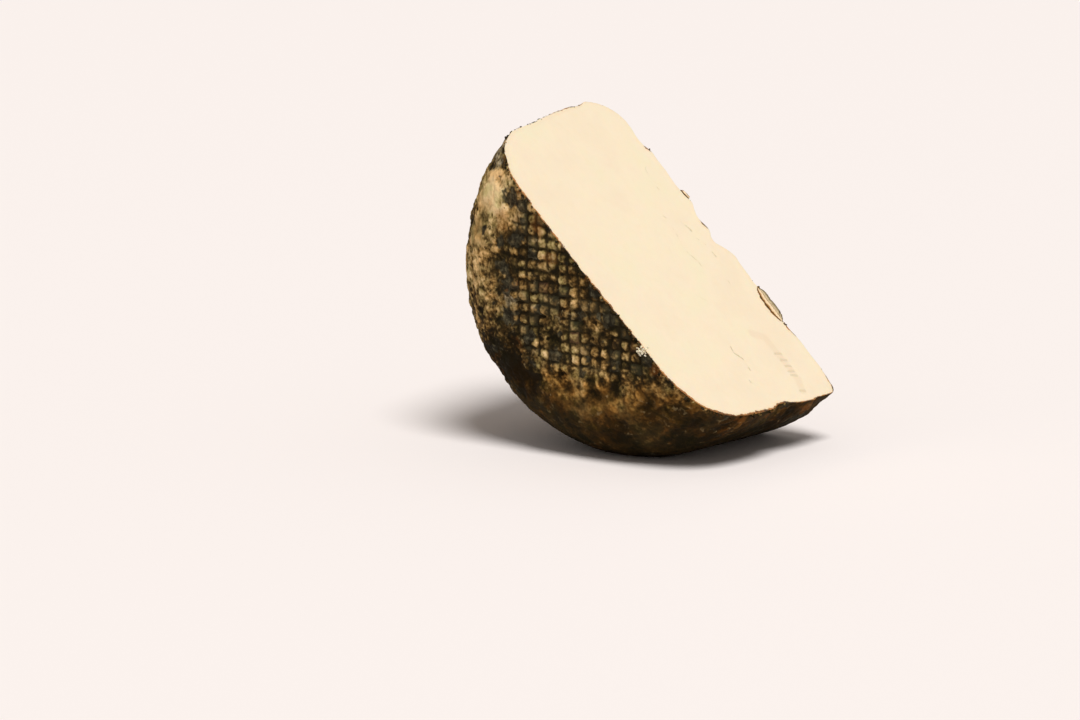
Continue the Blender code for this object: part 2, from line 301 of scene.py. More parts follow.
def between(inner, outer):
    """Faces between two rows of vertex numbers. Rows of one side form nested half squares, so a row
    has four steps more than the one inside it, two at each corner."""
    if len(inner) == len(outer):
        return [(inner[k], inner[k + 1], outer[k + 1], outer[k]) for k in range(len(inner) - 1)]
    ring = (len(inner) - 1) // 4
    faces = []
    for k in range(4 * ring):
        shift = 0 if k < ring else 2 if k < 3 * ring else 4
        faces.append((inner[k], inner[k + 1], outer[k + shift + 1], outer[k + shift]))
    for corner, shift in ((ring, 0), (3 * ring, 2)):
        first = corner + shift
        faces.append((inner[corner], outer[first + 2], outer[first + 1], outer[first]))
    return faces


def turn_of(point):
    """The turn about the wheel's axis, from the cut's low end round through the rind."""
    return math.atan2(-point.z, point.x)


def basket_cell(point):
    """The cell of the basket's print that holds a point, and the place in it, -1 to 1 each way."""
    across = point.x * math.cos(PRINT_SLANT) + point.z * math.sin(PRINT_SLANT)
    along = point.z * math.cos(PRINT_SLANT) - point.x * math.sin(PRINT_SLANT)
    cell = (across / PRINT_PITCH[0], along / PRINT_PITCH[1])
    middle = (round(cell[0]), round(cell[1]))
    return middle, (2.0 * (cell[0] - middle[0]), 2.0 * (cell[1] - middle[1]))


def cell_place(middle):
    """Where the middle of a cell lies in the wheel's frame."""
    across = middle[0] * PRINT_PITCH[0]
    along = middle[1] * PRINT_PITCH[1]
    return Vector((
        across * math.cos(PRINT_SLANT) - along * math.sin(PRINT_SLANT),
        -THICKNESS,
        across * math.sin(PRINT_SLANT) + along * math.cos(PRINT_SLANT)))


def wander(point):
    """A shift that varies from place to place, and keeps outlines from being even."""
    return Vector([noise.noise(point + apart) for apart in WANDER])


def hollows(point):
    """Shallow uneven hollows in the crust: 1 at their deepest, 0 on the rind between them."""
    warp = wander(point / LUMP[0]) * 0.5
    return smoothstep(0.0, 0.45, noise.noise(point / HOLLOW[0] + warp))


def grains(point, size):
    """A crust of rounded grains: 1 on a grain, 0 between grains."""
    near = noise.voronoi(point / size)[0]
    return smoothstep(0.02, 0.45, near[1] - near[0])


def pits(point):
    """Small round holes, in some of the cells that a pit may take: 1 in a pit."""
    near, places = noise.voronoi(point / PIT[0])[:2]
    taken = noise.cell(places[0] * 3.0 + Vector((5.0, 2.0, 8.0)))
    return smoothstep(0.17, 0.06, near[0]) * (taken > 0.25)


def heel(point):
    """The swelling that props the overhang: 1 along its crest, 0 away from it."""
    low, high = HEEL_SPAN
    span = smoothstep(low, low + 5.0 * MM, -point.y) * smoothstep(high, high - 8.0 * MM, -point.y)
    return span * math.exp(-(((turn_of(point) - HEEL_TURN) / HEEL_SPREAD) ** 2))


def flake_share(point, flake):
    """1 at the middle of a lifted strip, at the cut; 0 at its ends and where it joins the side."""
    middle, length, _, _, depth, _ = flake
    along = 2.0 * (point.x / MM - middle) / length
    on_side = smoothstep(-4.0 * MM, -1.0 * MM, point.y)
    beside_cut = smoothstep(-depth * MM, -0.3 * depth * MM, point.z)
    return max(0.0, 1.0 - along * along) * on_side * beside_cut


def recess(point):
    """How deep the rind lies behind the lifted strips at a point."""
    return sum(flake[2] * MM * math.sqrt(flake_share(point, flake)) for flake in FLAKES)


def spots(point, places):
    """How deep a point lies in the nearest of some round spots: 1 at a middle, 0 on an outline."""
    return max(1.0 - (point - Vector(place[:3]) * MM).length / (place[3] * MM) for place in places)


def tone_at(point):
    """How much lighter a point of the rind is by the broad tones, or darker where it is below 0; low on
    the printed side, by the foot, this darkening is painted shade.
    """
    total = 0.0
    for x, y, z, radius, lighter in TONES:
        away = (point - Vector((x, y, z)) * MM).length / (radius * MM)
        total += lighter * math.exp(-away * away)
    return total


CHANNELS = ("light", "groove", "hue", "mould", "calm", "rust", "ochre", "bloom", "torn")


def far_side(point):
    """1 on the plain side and round the back, where the crust is drier and more even, and 0 on the
    printed side and under the cut's low end."""
    round_back = smoothstep(-46.0 * MM, -34.0 * MM, point.y) * smoothstep(0.2, 0.6, turn_of(point))
    return max(smoothstep(-6.0 * MM, -3.0 * MM, point.y), round_back)


def underneath(point):
    """1 near the surface that the wheel stands on, 0 from some height above it. There the rind is
    painted darker, partly as painted shade.
    """
    above = TURNED.row[2].dot(point) + WHEEL_CENTRE.z
    return 1.0 - min(max((above - UNDER[0]) / UNDER[1], 0.0), 1.0)


def mould_at(point, spot, ragged, far, calm):
    """How much mould grows at a point: in the listed spots, and in patches elsewhere. The spots are
    measured from a place that may be moved to the middle of a cell of the print."""
    elsewhere = smoothstep(-60.0 * MM, -50.0 * MM, point.y)
    wide = mix(MOULD_PATCH, far)
    grown = 2.0 * noise.noise(point / wide + Vector((8.0, 3.0, 1.0))) - 0.45 + 0.12 * far
    scattered = 1.6 * noise.noise(point / MOULD_SPECK + Vector((2.0, 9.0, 4.0))) - 0.75 - 0.8 * calm
    share = max(spots(spot, MOULD), grown * elsewhere - 1.0 + elsewhere, scattered)
    return smoothstep(-0.25, 0.60, share + 0.9 * ragged)


def rind_at(point):
    """Height of the rind over the smooth wheel at a point, before the recesses behind the lifted
    strips, and the values that its colours follow, in the order of CHANNELS."""
    radius = math.hypot(point.x, point.z)
    on_print = smoothstep(PRINT_REACH[1], PRINT_REACH[0], radius)
    on_print *= smoothstep(0.80, 0.95, -point.y / THICKNESS)
    worn = smoothstep(0.15, 0.45, noise.noise(point / WORN))
    printed = on_print * (1.0 - worn) * (1.0 - 0.85 * smoothstep(0.0, 0.6, spots(point, BLURRED)))
    pressed = smoothstep(FOOT_HALF, 0.5 * FOOT_HALF, abs(turn_of(point) - FOOT_TURN))
    pressed *= smoothstep(0.6, 0.9, radius / PRINT_RADIUS)
    rough = (1.0 - 0.8 * printed) * (1.0 - 0.85 * pressed)
    trimmed = 0.4 + 0.6 * smoothstep(0.0, TRIM, abs(point.z))
    hollow = hollows(point)

    height = SWELL[1] * noise.noise(point / SWELL[0]) * (1.0 - 0.85 * pressed)
    height += LUMP[1] * noise.noise(point / LUMP[0] + Vector((3.0, 1.0, 7.0))) * rough
    height -= HOLLOW[1] * hollow * rough
    height += PEBBLE[1] * (grains(point, PEBBLE[0]) - 0.5) * rough * trimmed
    height += HEEL_HEIGHT * heel(point)
    for centre, spread, depth in DENTED:
        height -= depth * math.exp(-(((point - centre).length / spread) ** 2))

    far = far_side(point)
    low = underneath(point)
    calm = smoothstep(0.0, 0.7, spots(point, CALM)) * (1.0 - 0.8 * printed)
    calm = max(calm, 0.55 * far, smoothstep(0.0, 0.6, low))
    crust = noise.fractal(point / CRUST_HEIGHT[0], 0.55, 2.1, 4)
    # Near the surface it stands on the rind is darker: partly its own colour, partly painted shade.
    light = LIGHT_BARE + LIGHT_FAR * far - DARK_AND_SHADE_UNDER * low + LIGHT_CRUST * crust * (1.0 - 0.7 * calm)
    light += tone_at(point)
    groove = hue = 0.0
    spot = point
    if on_print > 0.0:
        wobble = Vector()
        for size, reach in WOBBLE:
            wobble += wander(point / size) * reach
        middle, off = basket_cell(point + wobble)
        numbered = Vector((middle[0] + 0.5, middle[1] + 0.5, 0.5))
        fullness = 0.75 + 0.5 * noise.noise(Vector((0.9 * middle[0], 0.9 * middle[1], 4.5)))
        out = (abs(off[0]) ** CELL_ROUNDING + abs(off[1]) ** CELL_ROUNDING) ** (1.0 / CELL_ROUNDING)
        dome = 1.0 - smoothstep(0.35, 1.15, out)
        height += PRINT_HEIGHT * (fullness * dome - 0.5) * printed * trimmed
        # The print's grooves are darkened: partly their own colour, partly painted shade.
        groove = printed * max(
            smoothstep(0.62, 1.0, abs(off[0])), 0.7 * smoothstep(0.70, 1.0, abs(off[1])),
            0.9 * smoothstep(0.85, 1.15, out))
        hue = noise.cell(numbered + Vector((0.0, 0.0, 7.0))) * printed
        chance = noise.cell(numbered)
        # Each cell's rounded dome is painted lighter: painted light on its top.
        light += printed * (LIGHT_CELL[0] * dome + LIGHT_CELL[1] * chance + LIGHT_CELL[2])
        light -= DARK_PRINT * on_print
        spot = point.lerp(cell_place(middle), 0.5 * printed)

    ragged = 0.50 * noise.noise(point / RAGGED[0]) + 0.45 * noise.noise(point / RAGGED[1])
    mould = mould_at(point, spot, ragged, far, calm)
    rust = smoothstep(0.0, 0.8, spots(point, RUST))
    ochre = smoothstep(-0.1, 0.6, spots(point, OCHRE) + 0.4 * ragged)
    bloom = smoothstep(-0.1, 0.6, spots(point, BLOOM) + ragged)
    torn = smoothstep(0.0, 0.2, recess(point) / MM)

    pit = pits(point) * (1.0 - 0.7 * printed) * (1.0 - 0.9 * pressed) * (1.0 - 0.8 * calm)
    grain = grains(point, GRAIN[0])
    soft = (1.0 - 0.35 * printed) * (1.0 - 0.8 * pressed) * (1.0 - 0.5 * mould) * (1.0 - 0.4 * calm)
    height += CRUST_HEIGHT[1] * crust * soft * trimmed
    height += GRAIN[1] * (grain - 0.6) * soft * trimmed
    height -= PIT[1] * pit
    dark = DARK_HOLLOW * hollow * rough + DARK_PIT * pit + DARK_SEAM * (1.0 - grain) * rough
    light -= dark * (1.0 - 0.5 * calm)
    return height, (light, groove, hue, mould, calm, rust, ochre, bloom, torn)


# ---- putting meshes in the scene ----------------------------------------------------------
def placed(name, data):
    """A new object of the scene."""
    made = bpy.data.objects.new(name, data)
    bpy.context.scene.collection.objects.link(made)
    return made


def set_down(points):
    """Points of the wheel's frame, set where the solid stands. What would pass the solid's box by
    a hair is brought back to it, which also makes the flat foot."""
    stood = np.asarray(points) @ np.array(TURNED).T + np.array(WHEEL_CENTRE)
    return np.clip(stood, np.array(cad_box[0]), np.array(cad_box[1]))


def add_piece(name, points, faces, materials, channels=None, normals=None, face_slots=None):
    """A mesh of the wheel as one piece of the scene, with its values for the materials."""
    mesh = bpy.data.meshes.new(name)
    mesh.from_pydata(set_down(points), [], faces)
    for made in materials:
        mesh.materials.append(made)
    if face_slots is not None:
        mesh.polygons.foreach_set("material_index", face_slots)
    mesh.shade_smooth()
    for channel, values in (channels or {}).items():
        layer = mesh.attributes.new(channel, "FLOAT", "POINT")
        layer.data.foreach_set("value", np.asarray(values, np.float32))
    if normals is not None:
        mesh.normals_split_custom_set_from_vertices(normals)
    piece = placed(name, mesh)
    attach(piece, "root")
    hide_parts(NODE)
    return piece


def vertex_normals(points, faces):
    """Outward unit normals at the vertices of a mesh."""
    mesh = bpy.data.meshes.new("normals")
    mesh.from_pydata(points, [], faces)
    normals = np.zeros(3 * len(points), np.float32)
    mesh.vertex_normals.foreach_get("vector", normals)
    bpy.data.meshes.remove(mesh)
    return normals.reshape(-1, 3).astype(float)


def smoothed(values, edges, rounds):
    """Values at vertices, averaged with their neighbours some rounds over."""
    count = np.bincount(edges.ravel(), minlength=len(values))
    for _ in range(rounds):
        total = np.bincount(edges[:, 0], values[edges[:, 1]], len(values))
        total += np.bincount(edges[:, 1], values[edges[:, 0]], len(values))
        values = 0.5 * values + 0.5 * total / count
    return values


class Rind:
    """The rind's lattice with its relief, and the values that its colours follow."""

    def __init__(self):
        rows = lattice_rows()
        base = np.concatenate(rows)
        starts = np.cumsum([0] + [len(row) for row in rows])
        self.rows = [list(range(starts[k], starts[k + 1])) for k in range(len(rows))]
        self.strips = []
        for first, second in zip(self.rows, self.rows[1:]):
            if len(first) <= len(second):
                self.strips.append([face[::-1] for face in between(first, second)])
            else:
                self.strips.append(between(second, first))
        faces = [face for strip in self.strips for face in strip]
        normals = vertex_normals(base, faces)
        in_cut = np.abs(base[:, 2]) < 1e-9
        normals[in_cut, 2] = 0.0
        normals /= np.linalg.norm(normals, axis=1)[:, None]
        felt = [rind_at(Vector(point)) for point in base]
        heights = np.array([height for height, _ in felt])
        heights -= [recess(Vector(point)) for point in base]
        self.even = base[:, 0]
        self.points = base + normals * heights[:, None]
        self.channels = dict(zip(CHANNELS, np.array([values for _, values in felt]).T))
        quads = np.array(faces)
        edges = np.concatenate([quads[:, (0, 1)], quads[:, (1, 2)]])
        around, here = (smoothed(heights, edges, rounds) for rounds in SUNKEN_ROUNDS)
        sunken = np.clip((around - here) / SUNKEN_DEPTH, -0.5, 1.0) * (1.0 - 0.6 * self.channels["calm"])
        self.channels["light"] -= DARK_SUNKEN * sunken
        self.normals = vertex_normals(set_down(self.points), faces)

    def piece(self, name, first, last):
        """The stretch of the rind between two rows, as a piece."""
        faces = [face for strip in self.strips[first:last] for face in strip]
        low = self.rows[first][0]
        high = self.rows[last][-1] + 1
        faces = (np.array(faces) - low).tolist()
        channels = {key: values[low:high] for key, values in self.channels.items()}
        return add_piece(
            name, self.points[low:high], faces, [RIND], channels, self.normals[low:high])

    def outline(self):
        """The rind's edge in the cut, as two lines of points from the raised end's middle to the
        low end's: over the plain side, and over the printed side, with the even run of both."""
        middle = SIDE_RINGS + RIM_ROWS // 2
        raised = [row[-1] for row in self.rows]
        low = [row[0] for row in self.rows]
        plain = raised[middle:0:-1] + low[:middle + 1]
        printed = raised[middle:-1] + low[:middle - 1:-1]
        return self.points[plain], self.points[printed], 0.5 * (self.even[plain] + self.even[printed])


# ---- materials ----------------------------------------------------------------------------
class Nodes:
    """Builds the node tree of one material."""

    def __init__(self, name):
        self.material = bpy.data.materials.new(name)
        self.material.use_nodes = True
        self.tree = self.material.node_tree
        self.shader = self.tree.nodes["Principled BSDF"]
        self.place = self.add("ShaderNodeTexCoord").outputs["Object"]

    def add(self, kind, given=(), **settings):
        """A node with some settings, and with its inputs filled in."""
        node = self.tree.nodes.new(kind)
        for key, value in settings.items():
            setattr(node, key, value)
        self.fill(node, dict(given))
        return node

    def fill(self, node, given):
        """Feeds inputs of a node, by their names or numbers."""
        for key, value in given.items():
            self.feed(node.inputs[key], value)

    def feed(self, socket, value):
        """Links a socket to another, or sets it to a constant."""
        if isinstance(value, bpy.types.NodeSocket):
            self.tree.links.new(value, socket)
        elif isinstance(value, tuple) and len(value) == 3 and socket.type == "RGBA":
            socket.default_value = (*value, 1.0)
        else:
            socket.default_value = value

    def math(self, operation, *values, clamp=False):
        """The result of a Math node."""
        given = enumerate(values)
        return self.add("ShaderNodeMath", given, operation=operation, use_clamp=clamp).outputs[0]

    def vary(self, base, noise, amount):
        """A value that a noise moves up and down."""
        return self.math("MULTIPLY_ADD", self.math("SUBTRACT", noise, 0.5), amount, base)

    def vector(self, operation, *values, output=0):
        """The result of a Vector Math node."""
        given = enumerate(values)
        return self.add("ShaderNodeVectorMath", given, operation=operation).outputs[output]

    def step(self, value, low, high, start=0.0, end=1.0):
        """Start where the value is low, end where it is high, and smooth between."""
        given = enumerate((value, low, high, start, end))
        return self.add("ShaderNodeMapRange", given, interpolation_type="SMOOTHSTEP").outputs[0]

    def channel(self, name):
        """A value that the mesh carries."""
        return self.add("ShaderNodeAttribute", attribute_name=name).outputs["Fac"]

    def noise(self, size, detail=3.0, roughness=0.55, output="Fac"):
        """Noise with features of about a size."""
        given = {"Vector": self.place, "Scale": 1.0 / size, "Detail": detail, "Roughness": roughness}
        return self.add("ShaderNodeTexNoise", given).outputs[output]

    def cells(self, size):
        """Distance from the middle of the nearest of some cells of about a size."""
        given = {"Vector": self.place, "Scale": 1.0 / size}
        return self.add("ShaderNodeTexVoronoi", given).outputs["Distance"]

    def ramp(self, value, stops):
        """A colour that follows a value, between stops of (value, colour)."""
        node = self.add("ShaderNodeValToRGB", {0: value})
        elements = node.color_ramp.elements
        for _ in stops[2:]:
            elements.new(0.5)
        for element, (position, colour) in zip(elements, stops):
            element.position = position
            element.color = (*colour, 1.0)
        return node.outputs["Color"]

    def blend(self, share, first, second, kind="MIX"):
        """The first colour, changed by a share of the second."""
        node = self.add("ShaderNodeMix", data_type="RGBA", blend_type=kind, clamp_factor=True)
        self.fill(node, {"Factor": share, 6: first, 7: second})
        return node.outputs[2]

    def bump(self, height, distance):
        """Relief of the surface: the distance that a height of 1 stands for."""
        node = self.add("ShaderNodeBump", {"Height": height, "Distance": distance, "Strength": 1.0})
        self.fill(self.shader, {"Normal": node.outputs[0]})


def rind_material():
    """Dry craggy rind: tan to brown, dark mould, dark grooves and pits, ochre and rusty stains."""
    n = Nodes("craggy_rind")
    broad = n.noise(9.0 * MM, 4.0)
    mottle = n.noise(3.0 * MM, 4.0)
    grit = n.noise(0.8 * MM, 2.0, 0.5)
    calm = n.channel("calm")
    uneven = n.math("MULTIPLY_ADD", calm, -0.65, 1.0)

    speckle = n.vary(n.vary(0.0, mottle, 1.3), grit, 0.60)
    speckle = n.vary(n.math("MULTIPLY", speckle, uneven), broad, 0.7)
    lightness = n.math("ADD", speckle, n.channel("light"))
    colour = n.ramp(lightness, (
        (0.08, (0.014, 0.010, 0.004)), (0.28, (0.042, 0.027, 0.009)), (0.44, (0.125, 0.080, 0.028)),
        (0.60, (0.330, 0.228, 0.088)), (0.76, (0.590, 0.420, 0.195)), (0.95, (0.860, 0.640, 0.350))))

    hue = n.channel("hue")
    pinkish = n.step(hue, 0.75, 0.95, 0.0, 0.5)
    colour = n.blend(pinkish, colour, n.blend(0.5, colour, (0.360, 0.190, 0.110)))
    greyish = n.step(hue, -0.2, -0.8, 0.0, 0.8)
    colour = n.blend(greyish, colour, n.blend(0.5, colour, (0.080, 0.072, 0.042)))
    colour = n.blend(n.math("MULTIPLY", n.channel("ochre"), 0.9), colour, (1.0, 0.80, 0.52), "MULTIPLY")
    warm = n.math("MULTIPLY_ADD", n.channel("rust"), 0.20, n.noise(6.0 * MM, 4.0, 0.6))
    rusty = n.step(warm, 0.58, 0.80, 0.0, 0.75)
    colour = n.blend(rusty, colour, n.blend(0.6, colour, (0.200, 0.070, 0.014)))
    tint = n.ramp(n.noise(4.5 * MM), (
        (0.36, (0.84, 0.92, 0.78)), (0.48, (1.00, 0.97, 0.92)), (0.62, (1.00, 0.84, 0.66))))
    colour = n.blend(0.85, colour, tint, "MULTIPLY")
    # Darkened grooves of the print: partly their own colour, partly painted shade.
    colour = n.blend(n.math("MULTIPLY", n.channel("groove"), 0.56), colour, (0.024, 0.017, 0.007))
    powder = n.ramp(n.noise(1.3 * MM), (
        (0.35, (0.070, 0.056, 0.030)), (0.50, (0.270, 0.215, 0.125)), (0.65, (0.560, 0.470, 0.310))))
    colour = n.blend(n.math("MULTIPLY", n.channel("bloom"), 0.70), colour, powder)

    growth = n.vary(n.vary(n.channel("mould"), grit, 0.7), mottle, 0.9)
    growth = n.step(growth, 0.34, 0.84)
    dark = n.ramp(n.noise(1.6 * MM, 4.0, 0.6), (
        (0.32, (0.013, 0.011, 0.007)), (0.48, (0.027, 0.023, 0.014)), (0.60, (0.062, 0.053, 0.031)),
        (0.72, (0.140, 0.120, 0.070))))
    colour = n.blend(n.math("MULTIPLY", growth, 0.92), colour, dark)
    clumps = n.step(n.noise(1.7 * MM), 0.58, 0.70)
    clumps = n.math("MULTIPLY", clumps, n.step(n.noise(6.0 * MM), 0.48, 0.62))
    clumps = n.math("MULTIPLY", clumps, n.math("MULTIPLY_ADD", n.channel("ochre"), 0.30, uneven))
    colour = n.blend(n.math("MULTIPLY", clumps, 0.45), colour, (0.430, 0.320, 0.160))
    specks = n.step(n.noise(1.5 * MM, 3.0, 0.6), 0.41, 0.30)
    specks = n.math("MULTIPLY", specks, n.math("MULTIPLY_ADD", calm, -0.55, 0.75))
    colour = n.blend(specks, colour, (0.016, 0.012, 0.006))
    colour = n.blend(n.channel("torn"), colour, (0.420, 0.200, 0.045))

    roughness = n.step(mottle, 0.3, 0.7, 0.75, 0.98)
    n.fill(n.shader, {"Base Color": colour, "Roughness": roughness, "Specular IOR Level": 0.05})
    height = n.math("MULTIPLY_ADD", grit, 0.6, mottle)
    height = n.math("MULTIPLY_ADD", n.cells(1.0 * MM), 0.30, height)
    n.bump(height, 0.20 * MM)
    return n.material


def line_distance(n, place, points):
    """Distance in the cut from a line through some points, in millimetres."""
    nearest = None
    for start, end in zip(points, points[1:]):
        along = Vector((end[0] - start[0], end[1] - start[1], 0.0))
        offset = n.vector("SUBTRACT", place, (start[0], start[1], 0.0))
        share = n.vector("DOT_PRODUCT", offset, tuple(along / along.length_squared), output=1)
        share = n.math("ADD", share, 0.0, clamp=True)
        foot = n.add("ShaderNodeVectorMath", {0: tuple(along), "Scale": share}, operation="SCALE")
        gap = n.vector("LENGTH", n.vector("SUBTRACT", offset, foot.outputs[0]), output=1)
        nearest = gap if nearest is None else n.math("MINIMUM", nearest, gap)
    return nearest


def paste_material():
    """Knife-cut paste: pale cream, fine-grained, with hairline cracks, a crease and a dark crust
    along parts of its edge."""
    n = Nodes("cut_paste")
    cut = n.add("ShaderNodeAttribute", attribute_name="cut").outputs["Vector"]
    edge, crust = n.channel("edge"), n.channel("crust")
    broad = n.noise(16.0 * MM, 3.0, 0.5)
    mottle = n.noise(3.0 * MM, 4.0, 0.5)
    grit = n.noise(0.45 * MM, 3.0, 0.6)

    colour = n.ramp(broad, (
        (0.35, (0.850, 0.715, 0.520)), (0.50, (0.865, 0.735, 0.535)), (0.65, (0.850, 0.742, 0.525))))
    colour = n.blend(n.step(mottle, 0.45, 0.75, 0.0, 0.16), colour, (0.800, 0.660, 0.440))
    warm = n.math("MULTIPLY", n.step(edge, 2.2, 0.0, 0.0, 0.45), n.step(crust, 0.0, 0.6, 0.35, 1.0))
    colour = n.blend(warm, colour, (0.860, 0.600, 0.330))

    place = n.vector("ADD", cut, (-0.45, -0.45, 0.0))
    place = n.vector("MULTIPLY_ADD", n.noise(2.4 * MM, output="Color"), (0.9, 0.9, 0.0), place)
    cracked = 0.0
    for points, width, darkness in CRACKS:
        line = n.step(line_distance(n, place, points), width, 0.2 * width, 0.0, darkness)
        cracked = n.math("MAXIMUM", cracked, line)
    cracked = n.math("MULTIPLY", cracked, n.step(n.noise(1.7 * MM), 0.42, 0.58, 0.1, 1.0))
    colour = n.blend(n.math("MULTIPLY", cracked, 0.62), colour, (0.560, 0.460, 0.220))

    smeared = n.step(line_distance(n, place, SMEAR), 2.0, 0.7)
    strokes = 0.0
    for x, y in STROKES:
        ends = ((x - STROKE[0], y - STROKE[1]), (x + STROKE[0], y + STROKE[1]))
        strokes = n.math("MAXIMUM", strokes, n.step(line_distance(n, place, ends), 0.60, 0.10))
    colour = n.blend(n.math("MULTIPLY", smeared, 0.60), colour, (0.800, 0.640, 0.450))
    colour = n.blend(n.math("MULTIPLY", strokes, 0.38), colour, (0.560, 0.450, 0.260))

    reach = n.vary(n.vary(edge, grit, 0.9), n.noise(1.4 * MM), 1.5)
    width = n.math("MULTIPLY_ADD", crust, 0.72, 0.02)
    crusted = n.step(n.math("SUBTRACT", reach, width), 0.20, -0.12)
    crusted = n.math("MULTIPLY", crusted, n.step(crust, 0.04, 0.25))
    rust = n.ramp(n.math("MULTIPLY_ADD", n.channel("rust"), 0.11, mottle), (
        (0.36, (0.045, 0.022, 0.008)), (0.50, (0.160, 0.065, 0.015)), (0.64, (0.430, 0.170, 0.036))))
    colour = n.blend(crusted, colour, rust)

    n.fill(n.shader, {
        "Base Color": colour, "Roughness": n.step(mottle, 0.3, 0.7, 0.48, 0.62),
        "Subsurface Weight": 0.25, "Subsurface Radius": (1.0, 0.6, 0.3),
        "Subsurface Scale": 1.6 * MM})
    height = n.math("MULTIPLY_ADD", cracked, -2.0, n.math("MULTIPLY", grit, 0.35))
    height = n.math("MULTIPLY_ADD", strokes, -0.8, height)
    n.bump(height, 0.10 * MM)
    return n.material


def flake_material():
    """The torn section of a lifted strip: brown where it left the paste, pale inside, and grey-brown
    towards the rind. Channel across is 0 at its inner side and 1 at its outer one."""
    n = Nodes("torn_rind")
    across = n.vary(n.channel("across"), n.noise(1.1 * MM), 0.22)
    colour = n.ramp(across, (
        (0.00, (0.280, 0.130, 0.030)), (0.12, (0.420, 0.220, 0.070)), (0.23, (0.850, 0.640, 0.400)),
        (0.45, (0.870, 0.680, 0.440)), (0.54, (0.400, 0.250, 0.120)), (0.64, (0.660, 0.530, 0.330)),
        (0.82, (0.420, 0.330, 0.180)), (0.98, (0.120, 0.090, 0.050))))
    dark = n.step(n.noise(1.8 * MM, 2.0), 0.52, 0.62)
    dark = n.math("MULTIPLY", dark, n.step(across, 0.46, 0.60, 0.0, 0.85))
    colour = n.blend(dark, colour, (0.100, 0.075, 0.045))
    n.fill(n.shader, {"Base Color": colour, "Roughness": 0.7, "Specular IOR Level": 0.2})
    n.bump(n.noise(0.5 * MM, 3.0, 0.6), 0.12 * MM)
    return n.material


RIND = rind_material()
PASTE = paste_material()
TORN = flake_material()


# ---- pieces -------------------------------------------------------------------------------
def crust_at(point):
    """How thick the crust shows at a point of the cut's outline."""
    strength = 0.0
    for x, y, spread, given in CRUST:
        away = math.hypot(point[0] / MM - x, point[1] / MM - y) / spread
        strength = max(strength, given * math.exp(-away * away))
    return strength


def cut_face(rind):
    """The knife-cut paste: rows from the outline in to a core line, with faint unevenness."""
    plain, printed, even = rind.outline()
    steps = len(plain)
    core = np.zeros((steps, 3))
    core[:, 0] = np.linspace(-PASTE_CORE[0], PASTE_CORE[0], steps) + PASTE_CORE[1] * even
    core[:, 1] = -0.5 * THICKNESS
    numbers, points, edge, crust, rust = {}, [], [], [], []

    def number(column, row, side):
        """The vertex in one place. The two sides share the core and both end columns."""
        if row == PASTE_ROWS or column in (0, steps - 1):
            side = 0
        key = (column, row, side)
        if key not in numbers:
            start = (plain, printed)[side][column]
            share = (row / PASTE_ROWS) ** PASTE_CROWDING
            point = start + (core[column] - start) * share
            depth = np.linalg.norm(core[column] - start) * share
            if row:
                swell = noise.noise(Vector(point) / PASTE_SWELL[0])
                swell += 0.4 * noise.noise(Vector(point) / PASTE_SWELL[1])
                point[2] = PASTE_UNEVEN * (swell - 0.7) * smoothstep(0.0, 2.0 * MM, depth)
            numbers[key] = len(points)
            points.append(point)
            edge.append(depth / MM)
            crust.append(crust_at(start))
            rust.append(smoothstep(0.0, 0.8, spots(Vector(start), RUST)))
        return numbers[key]

    faces = []
    for side in (0, 1):
        for column in range(steps - 1):
            for row in range(PASTE_ROWS):
                ring = (
                    number(column, row, side), number(column + 1, row, side),
                    number(column + 1, row + 1, side), number(column, row + 1, side))
                faces.append(ring if side else ring[::-1])
    channels = {"edge": edge, "crust": crust, "rust": rust}
    piece = add_piece("cut_face", np.array(points), faces, [PASTE], channels)
    layer = piece.data.attributes.new("cut", "FLOAT_VECTOR", "POINT")
    layer.data.foreach_set("vector", (np.array(points) / MM).ravel())
    return piece


def plain_side_point(x, z):
    """A point of the smooth wheel's plain side, well inside its edge."""
    flat = PLAIN_RADIUS - PLAIN_EDGE[0]
    return Vector((x, PLAIN_CROWN * (1.0 - (x * x + z * z) / (flat * flat)), z))


